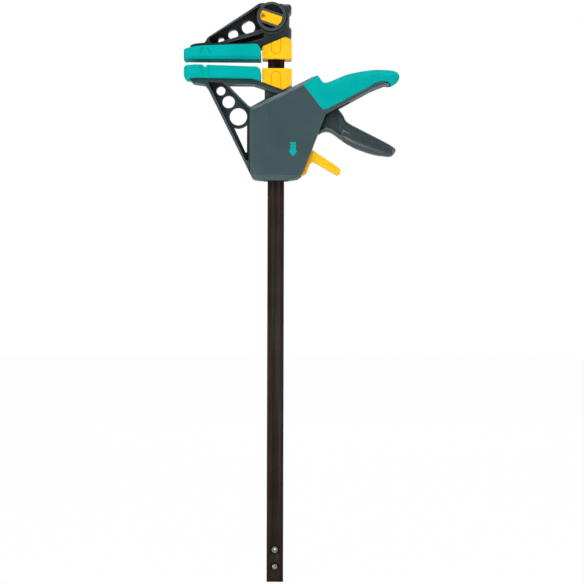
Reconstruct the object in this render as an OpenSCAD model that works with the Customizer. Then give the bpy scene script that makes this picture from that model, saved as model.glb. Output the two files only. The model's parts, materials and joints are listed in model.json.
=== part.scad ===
// Quick release bar clamp: a flat steel bar with a fixed jaw that can be unlocked and taken off,
// and a one-handed carriage with a squeeze trigger, jam plates and a release lever.
// Millimetres. Z = 0 is the foot of the fixed jaw's frame, X = 0 and Y = 0 the centre of the bar.
// The jaws reach towards -X, the grip points towards +X, the bar hangs towards -Z.

/* [Bar] */
// Width of the bar
bar_w = 19.8; // [18:0.2:21]
// Thickness of the bar
bar_t = 9.5; // [8:0.25:10]
// Length of the bar
bar_len = 686; // [400:2:1000]
// Height of the bar's top end above the foot of the fixed jaw's frame
bar_top = 60; // [59:0.25:61]
// Chamfer along the bar's edges
bar_chamfer = 0.7; // [0.5:0.1:1.5]
// Distance of each locking stud from its end of the bar
stud_inset = 18.4; // [17.5:0.1:19]
// Diameter of the stud heads
stud_d = 6.4; // [5.5:0.1:7]
// Height of the stud heads above the bar's faces
stud_out = 3.1; // [2.6:0.1:3.4]
// Distance of each roll pin from its end of the bar
pin_inset = 38.4; // [37:0.2:42]
// Outside diameter of the roll pins
roll_pin_d = 7; // [6:0.1:7.6]
// Bore of the roll pins
roll_pin_bore = 4; // [3:0.1:4.6]
// Height of the roll pins above the bar's faces
roll_pin_out = 2.2; // [1.5:0.1:2.6]

/* [Jaws] */
// Distance from the bar's centre to the tip of the pads
jaw_reach = 110.9; // [107:0.1:114]
// Width of the jaw frames, front to back
frame_w = 22; // [20:0.5:24]
// Thickness of the web in the middle of the jaw frames
web_t = 3; // [2:0.2:5]
// Thickness of the ribs round the pockets
rib_t = 3.6; // [3:0.1:4.2]
// Width of the pads, front to back
pad_w = 40; // [38:0.5:44]
// Height of the fixed pad at its bar end, above the foot of its frame
fixed_pad_h = 15.4; // [14.8:0.1:16]
// How far the fixed clamping face stands below the foot of the frame
face_drop = 1.5; // [0.8:0.1:1.6]
// Height of the moving pad at its bar end
moving_pad_h = 17.8; // [17.4:0.1:18.2]
// Rise of the moving pad's clamping face from its middle to its ends
pad_toe = 1.2; // [0:0.1:1.5]
// Width of the tongues that carry the pads
tongue_w = 33; // [30:0.5:35]
// Thickness of the tongues
tongue_t = 5.5; // [4.5:0.1:6]
// Soft material between a tongue and the clamping face
pad_cover = 5.6; // [4.5:0.1:6.2]
// Clearance round the tongues
pad_fit = 0.1; // [0.05:0.05:0.2]
// Distance between the pads with the clamp at rest
pad_gap = 8.8; // [8:0.1:60]
// Width of the notch across the moving pad
notch_w = 8; // [5:0.5:9]
// Depth of the notch across the moving pad
notch_d = 2; // [1:0.1:2.6]

/* [Bar guides] */
// Width of the yellow guides, front to back
guide_w = 28.6; // [26:0.2:29.5]
// Side wall of the guides towards the pads
guide_wall_in = 6.7; // [6:0.1:7.1]
// Side wall of the guides towards the grip
guide_wall_out = 8.9; // [8.2:0.1:9.6]
// Clearance of the bar in the carriage
slide_gap = 0.35; // [0.2:0.05:0.5]
// Clearance beside the stud heads in the stud slots
stud_slot_gap = 1.2; // [0.8:0.1:1.4]

/* [Knob and lock] */
// Distance of the knob's axis from the bar's centre
knob_x = 5.5; // [5:0.1:5.8]
// Height of the knob's axis above the locking stud
knob_rise = 7; // [6.3:0.1:7.1]
// Diameter of the knob
knob_d = 34.2; // [33:0.2:35]
// Height of the knob in front of its boss
knob_h = 5.6; // [5:0.1:7]
// Diameter of the cam disc
cam_d = 26; // [25:0.2:27]
// Thickness of the cam disc
cam_t = 2.6; // [2.2:0.1:2.8]
// Diameter of the hub between knob and cam
hub_d = 12; // [10:0.2:13]
// Running clearance of turning parts on their pins
run_fit = 0.06; // [0.03:0.01:0.09]
// Width of the yellow grip bar on the knob
grip_bar_w = 11.9; // [10:0.1:13]
// Tilt of the grip bar on the knob
grip_bar_tilt = 18.8; // [0:0.1:30]
// Distance of the grip bar's middle line below the knob's axis
grip_bar_drop = 2.2; // [0:0.1:2.6]

/* [Carriage body] */
// Width of the body, front to back
body_w = 30; // [29.6:0.2:33]
// Distance from the bar's centre to the body's side under the jaw
body_back = 31; // [30.4:0.1:32]
// Distance from the clamping face to the foot of the body
body_foot = 135.2; // [133:0.2:138]
// Width of the bevel along the body's upper edge
bevel_w = 4.3; // [2:0.1:5]
// Depth of the bevel along the body's upper edge
bevel_d = 2.6; // [1.5:0.1:3.5]
// Width of the bevel along the body's edge beside the jaw
side_bevel_w = 5.8; // [3:0.1:7]
// Depth of the bevel along the body's edge beside the jaw
side_bevel_d = 1.6; // [1:0.1:2.4]
// Depth of the plain panel line on the body's sides
panel_line_d = 0.5; // [0.3:0.1:0.8]
// Diameter of the housing screws
screw_d = 3; // [2.5:0.1:3.5]
// Diameter of the housing screws' heads
screw_head_d = 6; // [5:0.1:6.4]

/* [Grip] */
// Width of the hard grip core above its flange
core_w = 24.6; // [23.6:0.2:26]
// Width of the soft cover
cover_w = 30.4; // [30:0.2:33]
// Thickness of the soft cover along the back of the grip
cover_t = 2.3; // [1.8:0.1:2.8]
// Distance from the bar's centre to the grip's end
grip_reach = 148.6; // [140:0.2:156]

/* [Trigger] */
// Distance of the trigger pin from the bar's centre
trigger_pin_x = 31; // [30.5:0.1:31.5]
// Distance of the trigger pin below the clamping face
trigger_pin_z = 50.7; // [50.2:0.1:51.2]
// Diameter of the trigger pin
trigger_pin_d = 6; // [5:0.1:6.6]
// Width of the trigger's head inside the body
trigger_head_w = 16; // [14:0.2:17]
// Width of the trigger's finger blade
trigger_blade_w = 22; // [19:0.2:24]
// Distance from the bar's centre to the trigger's tip
trigger_reach = 143.3; // [136:0.2:150]
// Clearance of the trigger between the housing's walls
trigger_gap = 0.6; // [0.4:0.05:0.8]
// Distance of the trigger's nose from its pin
nose_arm = 13.5; // [13:0.1:14]
// Radius of the trigger's nose
nose_r = 3; // [2.5:0.1:3.4]

/* [Drive] */
// Thickness of each drive plate
drive_t = 2.6; // [2:0.1:3]
// Width of the drive and brake plates, front to back
plate_w = 20; // [17:0.5:22]
// Tilt of the drive plates at rest
drive_tilt = 2.5; // [1:0.1:3.5]
// Play of the bar in the plates' windows
window_gap = 0.12; // [0.08:0.01:0.25]
// Gap between parts that push one another
touch_gap = 0.3; // [0.2:0.05:0.4]
// Wire of the drive spring
drive_wire = 1.1; // [0.8:0.05:1.2]
// Turns of the drive spring
drive_turns = 7; // [5:1:9]

/* [Brake and release lever] */
// Thickness of the brake plate
brake_t = 4; // [3:0.1:4.4]
// Tilt of the brake plate at rest
brake_tilt = 5.5; // [5:0.1:6]
// Wire of the brake spring
brake_wire = 0.9; // [0.6:0.05:1]
// Turns of the brake spring
brake_turns = 6; // [4:1:8]
// Outside diameter of the brake spring
brake_spring_d = 7; // [6:0.2:7.4]
// Diameter of the release lever's pin
release_pin_d = 4; // [3:0.1:4.6]
// Width of the release lever
release_w = 17; // [14:0.2:18]
// Distance from the bar's centre to the release lever's tip
release_reach = 78; // [72:0.2:80]

/* [Hidden] */
$fn = 48;
ARC_STEPS = 7;

grey = [0.25, 0.33, 0.34];
dark_grey = [0.16, 0.18, 0.19];
teal = [0.02, 0.69, 0.69];
yellow = [1.0, 0.78, 0.16];
black_steel = [0.17, 0.15, 0.15];
steel = [0.62, 0.62, 0.62];

e = 0.02;                   // overshoot of cutting tools
far = 2 * grip_reach;       // beyond every part of the carriage
cover_fit = 0.05;           // clearance between the soft cover and the core's sides
press = 0.02;               // radial clearance of parts that are pressed together
hx = bar_w / 2;
hy = bar_t / 2;
bar_bottom = bar_top - bar_len;
stud_r = stud_d / 2;
roll_pin_r = roll_pin_d / 2;
stud_shank_r = stud_r * 0.7;
stud_z = bar_top - stud_inset;
pin_z = bar_top - pin_inset;
slot_w = max(stud_d, roll_pin_d) + 2 * stud_slot_gap;
slot_y = hy + max(stud_out, roll_pin_out) + 0.5;
frame_y = frame_w / 2;
guide_y = guide_w / 2;
body_y = body_w / 2;

// ---------- plane geometry ----------

function unit(v) = v / norm(v);

// Point on the line a-b at x
function z_at(a, b, x) = a.y + (b.y - a.y) * (x - a.x) / (b.x - a.x);

// The arc that rounds corner b between its neighbours a and c with the radius b[2]
function corner(a, b, c) =
    len(b) < 3 ? [[b.x, b.y]] :
    let (
        p = [b.x, b.y],
        u = unit([a.x, a.y] - p),
        v = unit([c.x, c.y] - p),
        half = acos(max(-1, min(1, u * v))) / 2,
        room = 0.49 * min(norm([a.x, a.y] - p), norm([c.x, c.y] - p)),
        r = min(b[2], room * tan(half)),
        centre = p + unit(u + v) * r / sin(half),
        from = p + u * r / tan(half) - centre,
        to = p + v * r / tan(half) - centre,
        a0 = atan2(from.y, from.x),
        turn = ((atan2(to.y, to.x) - a0 + 540) % 360) - 180
    )
    [for (i = [0:ARC_STEPS]) centre + r * [cos(a0 + turn * i / ARC_STEPS), sin(a0 + turn * i / ARC_STEPS)]];

// A closed outline from points [x, z] and rounded corners [x, z, radius]
function outline(points) =
    let (n = len(points))
    [for (i = [0:n - 1]) each corner(points[(i + n - 1) % n], points[i], points[(i + 1) % n])];

// Points of an arc round a centre
function ring(centre, r, a0, a1, steps = 9) =
    [for (i = [0:steps]) let (a = a0 + (a1 - a0) * i / steps) centre + r * [cos(a), sin(a)]];

// ---------- solid helpers ----------

// Extrudes a shape drawn in X and Z from y0 to y1
module across(y0, y1)
    translate([0, y1, 0]) rotate([90, 0, 0]) linear_extrude(y1 - y0) children();

// Extrudes a shape drawn in X and Z to the same depth on both sides of the middle
module both_ways(y) across(-y, y) children();

module shape(points, y) both_ways(y) polygon(outline(points));

// Box from its lower to its upper corner
module block(low, high) translate(low) cube(high - low);

// Round bar along Y through a point of the X-Z plane
module rod(p, r, y0, y1) translate([p.x, y1, p.y]) rotate([90, 0, 0]) cylinder(h = y1 - y0, r = r);

// Bevels the edge from a to b on both sides of a body of half width y. The body lies right of a-b.
module bevel_edge(a, b, y, w, d) {
    over = 0.2;
    for (side = [-1, 1])
        translate([a.x, side * y, a.y]) rotate([0, -atan2(b.y - a.y, b.x - a.x), 0])
            rotate([90, 0, 90]) linear_extrude(norm(b - a))
                polygon([
                    [side * d * over, -w * (1 + over)],
                    [-side * d * (1 + over), w * over],
                    [side * d * over, w * over]
                ]);
}

// Bevels both edges of a back that runs along a line of points
module crown(line, y, w, d) {
    lap = 1.2;
    for (i = [0:len(line) - 2])
        let (way = unit(line[i + 1] - line[i]))
            bevel_edge(line[i] - lap * way, line[i + 1] + lap * way, y, w, d);
}

// Compression spring along Z with closed end turns
module coil_spring(r, wire, z0, z1, turns, per_turn = 16, sides = 6) {
    steps = turns * per_turn;
    rise = (z1 - z0 - 3 * wire) / (turns - 2);
    function height(t) = z0 + wire / 2 + wire * (min(t, 1) + max(t - turns + 1, 0))
        + rise * max(0, min(t - 1, turns - 2));
    points = [
        for (i = [0:steps])
            let (t = i / per_turn, a = 360 * t)
            for (s = [0:sides - 1])
                let (q = r + wire / 2 * cos(360 * s / sides))
                [q * cos(a), q * sin(a), height(t) + wire / 2 * sin(360 * s / sides)]
    ];
    walls = [
        for (i = [0:steps - 1])
            for (s = [0:sides - 1])
                let (p = i * sides, n = (s + 1) % sides)
                each [[p + s, p + n, p + sides + n], [p + s, p + sides + n, p + sides + s]]
    ];
    start = [[for (s = [sides - 1:-1:0]) s]];
    stop = [[for (s = [0:sides - 1]) steps * sides + s]];
    polyhedron(points, concat(walls, start, stop));
}

// ---------- bar ----------

module bar_section(gap = 0) {
    x = hx + gap;
    y = hy + gap;
    c = bar_chamfer;
    polygon([
        [x - c, -y], [x, c - y], [x, y - c], [x - c, y],
        [c - x, y], [-x, y - c], [-x, c - y], [c - x, -y]
    ]);
}

module bar_tunnel(z0, z1, gap)
    translate([0, 0, z0]) linear_extrude(z1 - z0) square(2 * [hx + gap, hy + gap], center = true);

module bar() color(black_steel)
    difference() {
        translate([0, 0, bar_bottom]) linear_extrude(bar_len) bar_section();
        for (z = [stud_z, bar_bottom + stud_inset]) rod([0, z], stud_shank_r + press, -hy - 1, hy + 1);
        for (z = [pin_z, bar_bottom + pin_inset]) rod([0, z], roll_pin_r + press, -hy - 1, hy + 1);
    }

module stop_roll_pins() color(steel)
    for (z = [pin_z, bar_bottom + pin_inset])
        difference() {
            rod([0, z], roll_pin_r, -hy - roll_pin_out, hy + roll_pin_out);
            rod([0, z], roll_pin_bore / 2, -hy - roll_pin_out - 1, hy + roll_pin_out + 1);
            block([0, -hy - roll_pin_out - 1, z - 0.4], [roll_pin_r + 1, hy + roll_pin_out + 1, z + 0.4]);
        }

// Rivets whose domed heads stand out on both faces of the bar
module lock_studs() color(steel) {
    dome = 1.0;
    half = concat(
        [[0, 0], [stud_shank_r, 0], [stud_shank_r, hy + press], [stud_r, hy + press]],
        [for (a = [0:15:90]) [stud_r * cos(a), hy + stud_out - dome + dome * sin(a)]]
    );
    for (z = [stud_z, bar_bottom + stud_inset])
        translate([0, 0, z])
            for (side = [-1, 1]) rotate([-90 * side, 0, 0]) rotate_extrude() polygon(half);
}

// ---------- fixed jaw ----------

knob = [-knob_x, stud_z + knob_rise];
tip = -jaw_reach;
frame_tip = tip + 8.3;
guide_left = -hx - guide_wall_in;
guide_right = hx + guide_wall_out;
pad_end = guide_left - 1.7;
jaw_right = hx + 5.9;
// Slope of the fixed guide's top, from its left shoulder to its peak
guide_shoulder = [guide_left + 1.5, 13.8];
guide_peak = [hx + 0.3, 24.5];
seat = 0.3;                 // the jaws sit this far from their guides
guide_drop = 1;             // the fixed guide ends this far below the foot of its frame

// Tongue under or over a pad: z0 is its clamping side, up is 1 or -1
module tongue(z0, z1) block([frame_tip - 0.8, -tongue_w / 2, z0], [pad_end - 0.6, tongue_w / 2, z1]);

fixed_outline = [
    [frame_tip, pad_cover + 2],
    [frame_tip, 15, 3],
    [frame_tip + 6, 17, 3],
    [frame_tip + 17.5, 18.3, 2],
    [frame_tip + 21, 24.6, 6],
    [knob.x - 23.7, knob.y + 10.4],
    [knob.x - 14.7, knob.y + 16.9, 8],
    [jaw_right + 2.4, knob.y + 15.6, 6.5],
    [jaw_right + 2.4, knob.y + 6.8, 3],
    [jaw_right, knob.y + 4, 1.5],
    [jaw_right, knob.y - 11.2, 1.5],
    [jaw_right + 2.5, knob.y - 14.6, 3],
    [jaw_right + 2.5, guide_peak.y + 0.4, 4],
    [guide_peak.x + 3, guide_peak.y + seat, 1],
    [guide_peak.x, guide_peak.y + seat],
    [guide_shoulder.x, guide_shoulder.y + seat],
    [pad_end - 0.6, 11.6],
    [pad_end - 0.6, pad_cover + 2]
];

// The jaw's back, whose edges are bevelled
fixed_back = [
    [knob.x + 8, knob.y + 16.2],
    [jaw_right - 2.4, knob.y + 15.9],
    [jaw_right + 2.4, knob.y + 11],
    [jaw_right + 2.4, knob.y + 5.8],
    [jaw_right, knob.y + 3.4],
    [jaw_right, knob.y - 10.8],
    [jaw_right + 2.5, knob.y - 14.4],
    [jaw_right + 2.5, guide_peak.y + 2]
];

fixed_upper_pocket = [
    [frame_tip + 22.4, 20.2, 3.4],
    [frame_tip + 27, 16.3, 1.5],
    [-hx - 8.6, 34],
    [knob.x, knob.y],
    [-hx - 9.6, 62.4, 1],
    [frame_tip + 22.4, 23.9, 3.2]
];

// On the rear side the outer rib is wider
fixed_rear_pocket = [
    [frame_tip + 27, 16.3, 1.5],
    [-hx - 14.4, 32.2, 1.5],
    [-hx - 13.2, 51, 2.5],
    [-hx - 17, 52.2, 2],
    [frame_tip + 25, 18.3, 1.5]
];

fixed_lower_pocket = [
    [frame_tip + 41.6, 17.2],
    [frame_tip + 67.4, 17.7, 20],
    [-hx - 4.6, 24, 0.6],
    [-hx - 4.6, 30.4, 0.8],
    [-hx - 12, 28.2, 4]
];

fixed_holes = [[-33.5, 38.6, 7.9], [-51.8, 30, 6], [-66.2, 23, 3.6]];

boss_d = knob_d + 5.8;
boss_y = frame_y + 1.4;     // front of the boss that carries the knob
web_y = 1;                  // front face of the fixed jaw's web
cam_back = hy + 0.3;
cam_front = cam_back + cam_t;
hub_top = cam_front + 0.3;  // depth of the cam's recess

module fixed_jaw() color(dark_grey)
    difference() {
        union() {
            difference() {
                shape(fixed_outline, frame_y);
                crown(fixed_back, frame_y, 2.4, 1.2);
            }
            tongue(pad_cover, pad_cover + tongue_t);
            intersection() {
                rod(knob, boss_d / 2, -boss_y, 0);
                shape(fixed_outline, boss_y);
            }
        }
        for (pocket = [fixed_upper_pocket, fixed_lower_pocket])
            across(-boss_y - 1, web_y) difference() {
                polygon(outline(pocket));
                translate(knob) circle(r = knob_d / 2 + 0.6);
            }
        for (pocket = [fixed_rear_pocket, fixed_lower_pocket])
            across(web_y + web_t, boss_y + 1) difference() {
                polygon(outline(pocket));
                translate(knob) circle(r = boss_d / 2);
            }
        for (hole = fixed_holes) rod(hole, hole.z, -frame_y - 1, frame_y + 1);
        bar_tunnel(0, bar_top + 0.3, slide_gap);
        block([-slot_w / 2, -slot_y, 0], [slot_w / 2, slot_y, stud_z + stud_r + 0.5]);
        rod(knob, cam_d / 2 + 0.4, -hub_top, 0);
        rod(knob, cam_d / 2 + 0.4, 0, frame_y + 1);
        rod(knob, hub_d / 2 + run_fit, -boss_y - 1, 0);
    }

module fixed_bar_guide() color(yellow) {
    outer = [
        [guide_left, -guide_drop, 1],
        [guide_left, 12.1, 2.5],
        [guide_shoulder.x, guide_shoulder.y, 1],
        [guide_peak.x, guide_peak.y, 2.5],
        [guide_peak.x + 3, guide_peak.y - 0.4, 2.5],
        [guide_right, 20.4, 1.5],
        [guide_right, -guide_drop, 1]
    ];
    difference() {
        shape(outer, guide_y);
        bevel_edge([guide_right, -guide_drop], [guide_left, -guide_drop], guide_y, 1.1, 1.4);
        bar_tunnel(-2, guide_peak.y + 5, slide_gap);
        block([-slot_w / 2, -slot_y, -2], [slot_w / 2, slot_y, guide_peak.y + 5]);
        guide_corner_cuts(-2, guide_peak.y + 5);
        guide_arch(4.6, 40, 1);
    }
}

// Sloping faces at the grip side of both guides
module guide_corner_cuts(z0, z1) {
    crease = hx + 2;
    for (side = [-1, 1])
        translate([0, 0, z0]) linear_extrude(z1 - z0)
            polygon([
                [crease, side * guide_y],
                [guide_right + 1, side * (guide_y - 4)],
                [guide_right + 1, side * (guide_y + 1)],
                [crease, side * (guide_y + 1)]
            ]);
}

// Shallow round-ended panel line on the guides' sides. The round end is at z0, way says where it opens.
module guide_arch(z0, z1, way) {
    r = 6.1;
    line = 0.9;
    for (side = [-1, 1])
        across(side > 0 ? guide_y - 0.6 : -guide_y - 1, side > 0 ? guide_y + 1 : 0.6 - guide_y)
            difference() {
                arch_shape(r, z0, z1, way);
                arch_shape(r - line, z0 + way * line, z1 + way * line, way);
            }
}

module arch_shape(r, z0, z1, way) {
    translate([0, z0 + way * r]) circle(r = r);
    translate([-r, way > 0 ? z0 + r : z1]) square([2 * r, abs(z1 - z0) - r]);
}

// Outline of both pads seen from above: a rounded nose and a square end
pad_plan = [
    [pad_end, -pad_w / 2, 1.5],
    [tip + 1.5, -pad_w / 2, 5],
    [tip, 0, 60],
    [tip + 1.5, pad_w / 2, 5],
    [pad_end, pad_w / 2, 1.5]
];

// A pad that slides over its tongue from the tip. Drawn with the clamping face at z = 0, facing down.
module pad_body(profile, neck_h) {
    difference() {
        intersection() {
            shape(profile, pad_w / 2 + 1);
            translate([0, 0, -neck_h]) linear_extrude(2 * neck_h) polygon(outline(pad_plan));
        }
        block([frame_tip - 0.8 - pad_fit, -tongue_w / 2 - pad_fit, pad_cover - e],
            [pad_end + 5, tongue_w / 2 + pad_fit, pad_cover + tongue_t + pad_fit]);
        block([frame_tip - pad_fit, -frame_y - pad_fit, pad_cover], [pad_end + 5, frame_y + pad_fit, neck_h]);
    }
}

// Fine line from a to b on both sides of a pad
module pad_line(a, b) {
    line_w = 0.7;
    line_d = 0.45;
    for (side = [-1, 1])
        translate([a.x, side * pad_w / 2, a.y]) rotate([0, -atan2(b.y - a.y, b.x - a.x), 0])
            block([0, -line_d, -line_w / 2], [norm(b - a), line_d, line_w / 2]);
}

module fixed_pad() color(teal)
    difference() {
        pad_body([
            [tip, -face_drop, 1],
            [tip, 8.2, 2],
            [tip + 3.6, 9.9, 3],
            [tip + 14.3, 12.5, 8],
            [tip + 26.6, fixed_pad_h - 2, 20],
            [pad_end - 10, fixed_pad_h - 0.1, 4],
            [pad_end - 3.6, fixed_pad_h, 4],
            [pad_end, fixed_pad_h - 6, 3],
            [pad_end, -face_drop, 1]
        ], fixed_pad_h + 5);
        bevel_edge([pad_end, -face_drop], [tip, -face_drop], pad_w / 2, 1.3, 2);
        pad_line([tip + 21.2, 3.5], [tip + 23.8, 11.5]);
        pad_line([tip + 33.2, 3.5], [tip + 29, 11.5]);
    }

// ---------- knob and lock ----------

knob_back = boss_y + 0.2;
knob_face = knob_back + knob_h;
rim = 2.6;                  // width of the knob's rim
rib_w = 1.9;                // width of the ribs on both sides of the grip bar
groove = 0.5;               // gap between a rib and the insert
insert_bed = 1.8;           // depth of the insert's bed below the rim
insert_low = 0.4;           // depth of the insert's face below the rim
rivet_r = 1.4;

// Shape drawn in the knob's own plane, centred on its axis
module at_knob(y0, y1) translate([knob.x, 0, knob.y]) across(y0, y1) children();

// Strip of width w across a disc of radius r, along the grip bar
module knob_band(w, r) intersection() {
    circle(r = r);
    rotate(-grip_bar_tilt) translate([0, -grip_bar_drop]) square([2 * r + 2, w], center = true);
}

module lock_knob() color(dark_grey)
    difference() {
        union() {
            rod(knob, knob_d / 2, -knob_face, -knob_back);
            rod(knob, hub_d / 2, -knob_back - e, -hub_top + 0.2);
            rod(knob, hub_d / 4, -hub_top, -hub_top + 0.3);
        }
        at_knob(-knob_face - 1, -knob_back - 1.2) difference() {
            circle(r = knob_d / 2 - rim);
            knob_band(grip_bar_w + 2 * (groove + rib_w), knob_d);
        }
        at_knob(-knob_face - 1, -knob_face + insert_bed)
            knob_band(grip_bar_w + 2 * groove, knob_d / 2 - rim - 0.3);
        rod(knob, screw_d / 2, -knob_face + insert_bed + 0.6, 0);
        rod(rivet_at, rivet_r + press, -knob_face - 1, -knob_face + 3.4);
    }

// Rivet near one end of the grip bar
rivet_at = knob + 9.7 * [-cos(grip_bar_tilt), sin(grip_bar_tilt)]
    - grip_bar_drop * [sin(grip_bar_tilt), cos(grip_bar_tilt)];

module knob_grip_insert() color(yellow)
    difference() {
        at_knob(-knob_face + insert_low, -knob_face + insert_bed)
            knob_band(grip_bar_w, knob_d / 2 - rim - 1.3);
        rod(rivet_at, rivet_r + press, -knob_face - 2, 0);
        rod(rivet_at, 2 * rivet_r, -knob_face - 2, -knob_face + insert_low + 0.9);
    }

module insert_rivet() color(steel)
    rod(rivet_at, rivet_r, -knob_face + insert_low + 0.5, -knob_face + 3.3);

// Stud's place on the cam, seen from the knob's axis
cam_r = norm([knob_x, knob_rise]);
stud_angle = atan2(-knob_rise, knob_x);
cam_slot_w = stud_d + 0.7;

// Disc with a curved slot round the stud and a mouth that lets it out after a quarter turn
module lock_cam() color(steel)
    difference() {
        rod(knob, cam_d / 2, -cam_front, -cam_back);
        at_knob(-cam_front - 1, 0) cam_slot();
        rod(knob, screw_d / 2 + 0.1, -cam_front - 1, 0);
        rod(knob, screw_d / 2 + 1.4, -cam_back - 1.4, 0);
    }

module cam_slot() {
    w = cam_slot_w / 2;
    mouth_angle = stud_angle - 90;
    mouth = cam_r * [cos(mouth_angle), sin(mouth_angle)];
    lip_angle = -180 - asin((mouth.y - w) / (cam_r + w));
    polygon(concat(
        [[-cam_d, mouth.y + w], [-cam_d, mouth.y - w]],
        ring([0, 0], cam_r + w, lip_angle, stud_angle),
        ring(cam_r * [cos(stud_angle), sin(stud_angle)], w, stud_angle + 15, stud_angle + 165),
        ring([0, 0], cam_r - w, stud_angle, mouth_angle),
        ring(mouth, w, mouth_angle + 195, 90)
    ));
}

module knob_screw() color(steel) {
    rod(knob, screw_d / 2 - press, -knob_face + insert_bed + 0.7, -cam_back - 0.1);
    rod(knob, screw_d / 2 + 1.3, -cam_back - 1.3, -cam_back - 0.1);
}

// ---------- carriage, drawn from its own clamping face at z = 0 ----------

module carriage() translate([0, 0, -face_drop - pad_gap]) children();

trigger_pin_at = [trigger_pin_x, -trigger_pin_z];
pin_r = trigger_pin_d / 2;
tunnel_gap = slide_gap;

// Drive plates and trigger nose
nose = trigger_pin_at + [-nose_arm, -3];
drive_push = nose.y - nose_r - touch_gap;      // top of the drive plates under the nose
plate_left = -hx - 5.2;
plate_right = hx + 11.8;
spring_r = norm([hx, hy]) + 0.35 + drive_wire / 2;
drive_spring_top = drive_push + (nose.x - spring_r) * sin(drive_tilt) - 2 * drive_t - 2.6;
shelf_top = -94.7;
shelf_t = 3;
chamber_y = spring_r + drive_wire / 2 + 0.15;

// Brake plate and release lever
brake_pivot = [-hx - 9.25, -113.7];
brake_end = hx + 11.8;
release_pin_at = [hx + 19.75, -111.2];
release_nose_x = hx + 8.3;
release_nose_r = 2.8;
brake_top_at_nose = brake_pivot.y + (release_nose_x - brake_pivot.x) * tan(brake_tilt)
    + brake_t / 2 / cos(brake_tilt);
release_nose = [release_nose_x, brake_top_at_nose + release_nose_r / cos(brake_tilt) + touch_gap];
foot_wall = 5.7;
chamber_floor = -body_foot + foot_wall;
brake_spring_x = hx + brake_spring_d / 2 + 1.6;

// Body outline: the slanted upper edge runs from body_a to body_b
body_a = [-body_back, -49.2];
body_b = [44.5, -11.9];
body_edge_low = [31.3, -128.8];
body_edge_high = [59, -57];
// Edge of the soft cover on the sides, from the grip's end round to the crest of the body
cover_edge = [
    [grip_reach - 13.6, -21],
    [125, -17.3, 12],
    [110.5, -24.8, 30],
    [57, -52.8, 3.5],
    [32.2, -21.5, 0.8],
    [46, -12.9]
];
body_outline = concat(
    [
        [body_edge_high.x, body_edge_high.y, 1],
        [body_edge_low.x, body_edge_low.y, 4],
        [26.5, -body_foot + 2, 6],
        [15, -body_foot, 4],
        [-18, -body_foot, 4],
        [-27.6, -body_foot + 1.2, 6],
        [-body_back + 0.6, -body_foot + 8],
        [body_a.x, body_a.y, 1.5],
        [body_b.x, body_b.y, 1]
    ],
    [for (i = [len(cover_edge) - 1:-1:0]) cover_edge[i]],
    [
        [grip_reach - 18, -20, 12],
        [113, -27.2, 20]
    ]
);

// Slanted top of the beam that carries the moving bar guide
beam_high = [-hx - 10.6, -17.2];
beam_low = [hx - 0.4, -28.5];

// Lower jaw frame
jaw_outline = [
    [frame_tip, -pad_cover - 2],
    [frame_tip, -15.8, 2.5],
    [frame_tip + 3.6, -19, 3],
    [frame_tip + 17, -20.8, 2],
    [frame_tip + 20.8, -25.2, 4],
    [-27.8, -133.5, 3],
    [-20, -131],
    [-10, -60],
    [14, -40],
    [beam_low.x, beam_low.y],
    [beam_high.x, beam_high.y, 1],
    [-hx - 15.3, -15.9],
    [pad_end - 2, -pad_cover - 2]
];

jaw_pocket = [
    [frame_tip + 21, -18.4, 0.8],
    [frame_tip + 38.8, -18.4, 1.5],
    [-body_back - 1.2, -49.6, 1.5],
    [-body_back - 1.2, -112.3, 1.2],
    [-body_back - 4.6, -112.3, 1.2]
];

jaw_window = [
    [frame_tip + 44.2, -20.8, 1],
    [-hx - 17.4, -21, 3],
    [-hx - 3.8, -25.4, 0.5],
    [-hx - 3.8, -38.8, 0.5],
    [-body_back + 0.4, -48.2, 1.5],
    [-body_back - 2.4, -46, 1.5]
];

// Recess between the beam and the body, in front of and behind the bar's tunnel
tunnel_wall = 2.6;
jaw_nook = [
    [-hx - 3.9, -27.4],
    [1, -31.2],
    [4, -32.2],
    [-hx - 3.9, -39]
];

jaw_holes = [[-66.2, -27.7, 5.3], [-57, -40.9, 7.4], [-45.2, -58.5, 10.4]];
hole_rim = 4;

jaw_slit = [
    [-51.6, -68],
    [-34.9, -66],
    [-34.9, -101.4, 0.8],
    [-36.4, -101.4, 0.8],
    [-50, -72, 1]
];

// Grip: the back of the cover, from the crest of the body to the grip's end and round it
cover_outline = concat(
    [
        [46.4, -10.6, 0.5],
        [49.8, -10, 2.5],
        [53.8, -14.8, 5],
        [58.5, -19.2, 6],
        [74.2, -13.1, 30],
        [96, -5.6, 40],
        [120, -2.2, 40],
        [grip_reach - 4, -3.4, 7],
        [grip_reach, -10, 6],
        [grip_reach - 3.2, -19, 6]
    ],
    cover_edge
);

// The back of the hard core, one cover thickness inside
core_back = [
    [46, -12.9],
    [49, -12.7, 1.5],
    [52, -17, 5],
    [58.1, -21.7, 6],
    [74.2, -13.3 - cover_t, 30],
    [96, -5.7 - cover_t, 40],
    [120, -2.2 - cover_t, 40],
    [grip_reach - 4 - cover_t, -3.2 - cover_t, 5],
    [grip_reach - cover_t, -10.5, 4],
    [grip_reach - 2.9 - cover_t, -16.8, 4],
    [grip_reach - 13.6, -18.6]
];

core_outline = concat(core_back, [
    [grip_reach - 18, -20, 12],
    [113, -27.2, 20],
    [60, -54.4],
    [48, -60],
    [28, -22]
]);

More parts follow.
